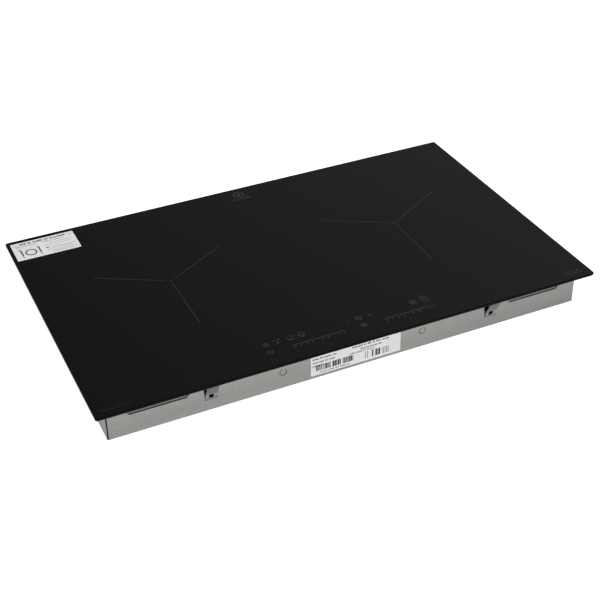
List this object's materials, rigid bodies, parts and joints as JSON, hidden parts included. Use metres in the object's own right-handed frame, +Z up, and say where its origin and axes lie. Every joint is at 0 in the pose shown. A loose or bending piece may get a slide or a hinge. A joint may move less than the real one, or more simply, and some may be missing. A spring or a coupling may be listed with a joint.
{
  "type": "built-in induction cooktop",
  "caption": "Built-in induction cooktop: black glass panel on a folded steel tub with coils, electronics, fan, spring clips and a hinged terminal cover.",
  "frame": {"origin": "middle of the footprint, on the underside of the tub", "axes": "+X to the right seen from the controls, +Y to the rear, +Z up through the glass"},
  "size_m": [0.7, 0.43, 0.0546],
  "materials": {
    "black_glass": "polished black glass-ceramic",
    "seal_foam": "soft matt foam tape",
    "silicone": "cured silicone bead",
    "zinc_sheet": "galvanised sheet steel, satin",
    "frame_sheet": "galvanised sheet steel, satin",
    "spring_steel": "cold-rolled spring steel",
    "zinc_fastener": "bright zinc plate",
    "aluminium_sheet": "mill finish",
    "aluminium_sink": "extruded",
    "black_plastic": "moulded, fine grain",
    "white_plastic": "moulded, fine grain",
    "light_guide": "moulded, milky",
    "ferrite": "sintered, matt",
    "copper_winding": "enamelled litz copper",
    "mica": "pressed mica sheet",
    "ceramic_fibre": "ceramic fibre felt",
    "sensor_ceramic": "unglazed",
    "spring_wire": "drawn wire",
    "circuit_board": "solder resist over glass fibre",
    "component_black": "epoxy case",
    "capacitor_blue": "polyester film case",
    "capacitor_sleeve": "shrink sleeve",
    "choke_copper": "enamelled copper wire",
    "ribbon_grey": "flat ribbon cable",
    "lead_sleeve": "braided glass sleeve",
    "wire_insulation": "insulated copper wire",
    "nickel": "nickel plate",
    "label_paper": "printed film label",
    "sticker_paper": "printed film sticker"
  },
  "bodies": {
    "housing": {"glass_panel": "black_glass", "worktop_seal": "seal_foam", "glass_adhesive": "silicone", "support_frame": "frame_sheet", "bottom_tub": "zinc_sheet", "frame_spacers": "zinc_fastener", "frame_screws": "zinc_fastener", "clip_feet": "zinc_sheet", "coil_plate": "aluminium_sheet", "plate_posts": "zinc_fastener", "plate_screws": "zinc_fastener", "coil_former_left": "black_plastic", "coil_former_right": "black_plastic", "ferrites_left": "ferrite", "ferrites_right": "ferrite", "coil_winding_left": "copper_winding", "coil_winding_right": "copper_winding", "mica_disc_left": "mica", "mica_disc_right": "mica", "insulation_pad_left": "ceramic_fibre", "insulation_pad_right": "ceramic_fibre", "sensor_spring_left": "spring_wire", "sensor_spring_right": "spring_wire", "board_tray": "white_plastic", "power_board": "circuit_board", "board_screws": "zinc_fastener", "heat_sink": "aluminium_sink", "air_duct": "black_plastic", "power_transistors": "component_black", "bridge_rectifier": "component_black", "film_capacitors": "capacitor_blue", "electrolytic_capacitors": "capacitor_sleeve", "filter_chokes": "choke_copper", "relays": "component_black", "board_connectors": "white_plastic", "fan_housing": "black_plastic", "fan_motor": "component_black", "control_tray": "black_plastic", "control_board": "circuit_board", "touch_springs": "nickel", "light_bars": "light_guide", "ribbon_cable": "ribbon_grey", "coil_leads": "lead_sleeve", "mains_wires": "wire_insulation", "terminal_box": "white_plastic", "terminal_block": "white_plastic", "terminal_screws": "nickel", "cover_hinge": "zinc_fastener", "cable_gland": "black_plastic", "cable_clamp": "white_plastic", "rating_label": "label_paper", "info_sticker": "sticker_paper"},
    "fan_rotor": {"fan_wheel": "black_plastic"},
    "front_left_clip": {"clip_front_left": "spring_steel"},
    "front_right_clip": {"clip_front_right": "spring_steel"},
    "rear_left_clip": {"clip_rear_left": "spring_steel"},
    "rear_right_clip": {"clip_rear_right": "spring_steel"},
    "left_sensor": {"temperature_sensor_left": "sensor_ceramic"},
    "right_sensor": {"temperature_sensor_right": "sensor_ceramic"},
    "terminal_door": {"terminal_cover": "black_plastic"}
  },
  "joints": [
    {"name": "fan_spin", "type": "hinge", "parent": "housing", "child": "fan_rotor", "pos_m": [0, 0.118, 0.01], "axis": [0, 0, 1], "continuous": true},
    {"name": "front_left_clip_flex", "type": "hinge", "parent": "housing", "child": "front_left_clip", "pos_m": [-0.2, -0.1946, 0.0176], "axis": [-1, 0, 0], "range_deg": [0, 22], "stiffness_Nm_per_rad": 1.2, "springref_deg": -5.73},
    {"name": "front_right_clip_flex", "type": "hinge", "parent": "housing", "child": "front_right_clip", "pos_m": [0.2, -0.1946, 0.0176], "axis": [-1, 0, 0], "range_deg": [0, 22], "stiffness_Nm_per_rad": 1.2, "springref_deg": -5.73},
    {"name": "rear_left_clip_flex", "type": "hinge", "parent": "housing", "child": "rear_left_clip", "pos_m": [-0.2, 0.1946, 0.0176], "axis": [1, 0, 0], "range_deg": [0, 22], "stiffness_Nm_per_rad": 1.2, "springref_deg": -5.73},
    {"name": "rear_right_clip_flex", "type": "hinge", "parent": "housing", "child": "rear_right_clip", "pos_m": [0.2, 0.1946, 0.0176], "axis": [1, 0, 0], "range_deg": [0, 22], "stiffness_Nm_per_rad": 1.2, "springref_deg": -5.73},
    {"name": "left_sensor_slide", "type": "slide", "parent": "housing", "child": "left_sensor", "axis": [0, 0, 1], "range_m": [-0.0025, 0], "stiffness_N_per_m": 250, "springref_m": 0.002, "deforming": ["sensor_spring_left"]},
    {"name": "right_sensor_slide", "type": "slide", "parent": "housing", "child": "right_sensor", "axis": [0, 0, 1], "range_m": [-0.0025, 0], "stiffness_N_per_m": 250, "springref_m": 0.002, "deforming": ["sensor_spring_right"]},
    {"name": "terminal_door_hinge", "type": "hinge", "parent": "housing", "child": "terminal_door", "pos_m": [0.259, 0.1966, 0.0399], "axis": [1, 0, 0], "range_deg": [0, 95]}
  ]
}
